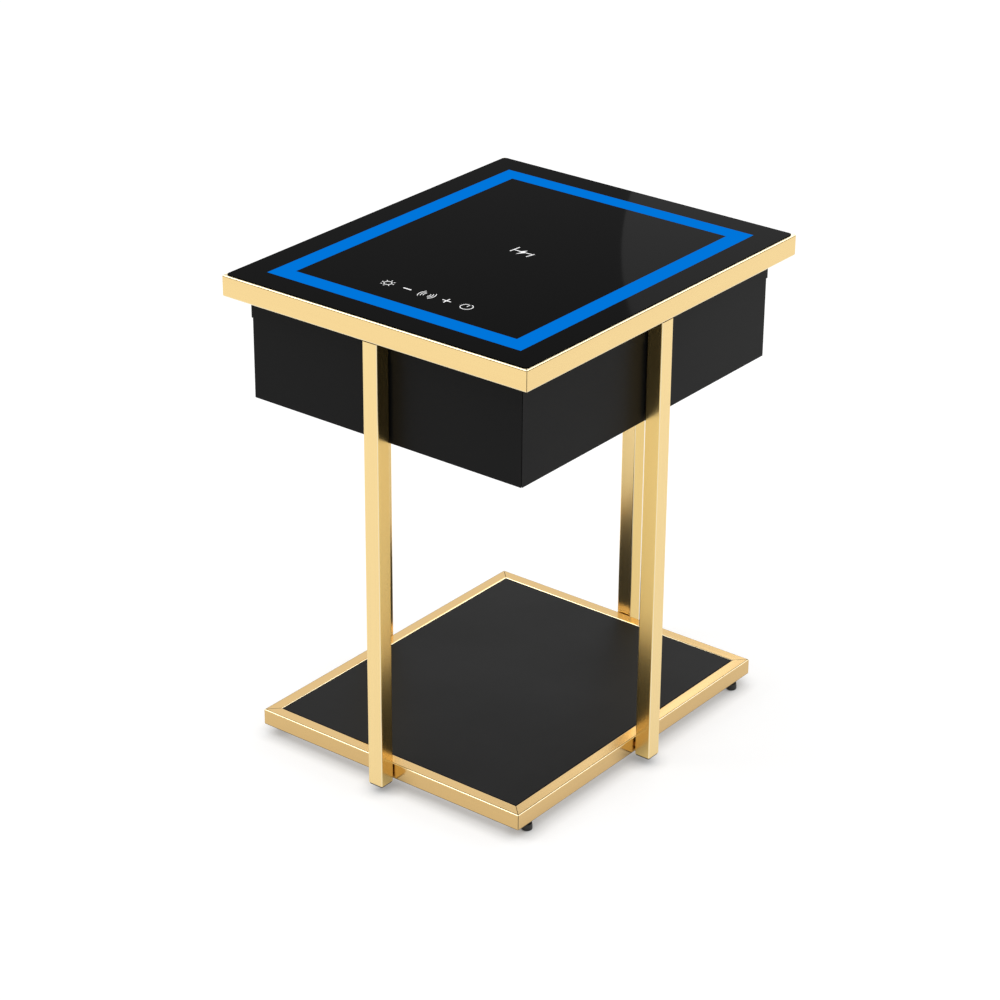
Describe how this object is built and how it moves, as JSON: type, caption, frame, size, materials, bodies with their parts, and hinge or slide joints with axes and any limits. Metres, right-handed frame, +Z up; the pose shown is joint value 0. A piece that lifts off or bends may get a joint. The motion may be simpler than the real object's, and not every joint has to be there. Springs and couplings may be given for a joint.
{
  "type": "side table with speaker",
  "caption": "Square-topped side table on four middle posts, with a black glass top, light band, touch controls, speaker box under the top and low shelf.",
  "frame": {"origin": "on the floor under the middle of the table", "axes": "+Z up, -Y towards the front with the touch controls, +X to the right"},
  "size_m": [0.42, 0.5, 0.58],
  "materials": {
    "glass": "polished black back-printed tempered glass",
    "gold": "polished gold-plated steel tube, fine brushed grain",
    "light": "lit blue acrylic diffuser",
    "led_tape": "white flexible tape with lamps",
    "raw_board": "raw fibreboard",
    "circuit": "green solder mask",
    "copper": "enamelled copper wire",
    "ferrite": "dark ferrite sheet",
    "black_board": "satin black lacquer on fibreboard",
    "black_steel": "satin black paint",
    "cone": "matt black pulp",
    "black_plastic": "matt black moulded plastic",
    "zinc": "bright zinc plate"
  },
  "bodies": {
    "table": {"amplifier_board": "circuit", "base_rail_back": "gold", "base_rail_front": "gold", "base_rail_left": "gold", "base_rail_right": "gold", "box_floor": "black_board", "box_wall_back": "black_board", "box_wall_front": "black_board", "box_wall_left": "black_board", "box_wall_right": "black_board", "carrier_board": "raw_board", "charging_coil": "copper", "charging_ferrite": "ferrite", "corner_plate_back_left": "black_steel", "corner_plate_back_right": "black_steel", "corner_plate_front_left": "black_steel", "corner_plate_front_right": "black_steel", "glass_top": "glass", "led_tape_back": "led_tape", "led_tape_front": "led_tape", "led_tape_left": "led_tape", "led_tape_right": "led_tape", "light_guide_back": "light", "light_guide_front": "light", "light_guide_left": "light", "light_guide_right": "light", "post_back": "gold", "post_bolt_back": "zinc", "post_bolt_front": "zinc", "post_bolt_left": "zinc", "post_bolt_right": "zinc", "post_front": "gold", "post_left": "gold", "post_plug_back": "black_plastic", "post_plug_front": "black_plastic", "post_plug_left": "black_plastic", "post_plug_right": "black_plastic", "post_right": "gold", "power_inlet": "black_plastic", "shelf_panel": "black_board", "speaker_chassis_back": "black_steel", "speaker_chassis_front": "black_steel", "speaker_grille_back": "black_steel", "speaker_grille_front": "black_steel", "top_frame_back": "gold", "top_frame_front": "gold", "top_frame_left": "gold", "top_frame_right": "gold", "touch_board": "circuit"},
    "foot_pad_front_left": {"foot_pad_front_left": "black_plastic"},
    "foot_stem_front_left": {"foot_stem_front_left": "black_steel"},
    "foot_pad_front_right": {"foot_pad_front_right": "black_plastic"},
    "foot_stem_front_right": {"foot_stem_front_right": "black_steel"},
    "foot_pad_back_right": {"foot_pad_back_right": "black_plastic"},
    "foot_stem_back_right": {"foot_stem_back_right": "black_steel"},
    "foot_pad_back_left": {"foot_pad_back_left": "black_plastic"},
    "foot_stem_back_left": {"foot_stem_back_left": "black_steel"},
    "speaker_cone_front": {"speaker_cone_front": "cone"},
    "speaker_cone_back": {"speaker_cone_back": "cone"}
  },
  "joints": [
    {"name": "foot_height_front_left", "type": "slide", "parent": "table", "child": "foot_pad_front_left", "axis": [0, 0, -1], "range_m": [0, 0.006]},
    {"name": "foot_screw_front_left", "type": "hinge", "parent": "foot_pad_front_left", "child": "foot_stem_front_left", "pos_m": [-0.181, -0.203, 0.012], "axis": [0, 0, -1], "range_deg": [-90, 2250]},
    {"name": "foot_height_front_right", "type": "slide", "parent": "table", "child": "foot_pad_front_right", "axis": [0, 0, -1], "range_m": [0, 0.006]},
    {"name": "foot_screw_front_right", "type": "hinge", "parent": "foot_pad_front_right", "child": "foot_stem_front_right", "pos_m": [0.181, -0.203, 0.012], "axis": [0, 0, -1], "range_deg": [-90, 2250]},
    {"name": "foot_height_back_right", "type": "slide", "parent": "table", "child": "foot_pad_back_right", "axis": [0, 0, -1], "range_m": [0, 0.006]},
    {"name": "foot_screw_back_right", "type": "hinge", "parent": "foot_pad_back_right", "child": "foot_stem_back_right", "pos_m": [0.181, 0.203, 0.012], "axis": [0, 0, -1], "range_deg": [-90, 2250]},
    {"name": "foot_height_back_left", "type": "slide", "parent": "table", "child": "foot_pad_back_left", "axis": [0, 0, -1], "range_m": [0, 0.006]},
    {"name": "foot_screw_back_left", "type": "hinge", "parent": "foot_pad_back_left", "child": "foot_stem_back_left", "pos_m": [-0.181, 0.203, 0.012], "axis": [0, 0, -1], "range_deg": [-90, 2250]},
    {"name": "cone_stroke_front", "type": "slide", "parent": "table", "child": "speaker_cone_front", "axis": [0, 0, -1], "range_m": [-0.002, 0.002], "stiffness_N_per_m": 2000},
    {"name": "cone_stroke_back", "type": "slide", "parent": "table", "child": "speaker_cone_back", "axis": [0, 0, -1], "range_m": [-0.002, 0.002], "stiffness_N_per_m": 2000}
  ],
  "couplings": [
    {"joint": "foot_screw_front_left", "follows": "foot_height_front_left", "rad_per_m": 6283.2},
    {"joint": "foot_screw_front_right", "follows": "foot_height_front_right", "rad_per_m": 6283.2},
    {"joint": "foot_screw_back_right", "follows": "foot_height_back_right", "rad_per_m": 6283.2},
    {"joint": "foot_screw_back_left", "follows": "foot_height_back_left", "rad_per_m": 6283.2}
  ]
}
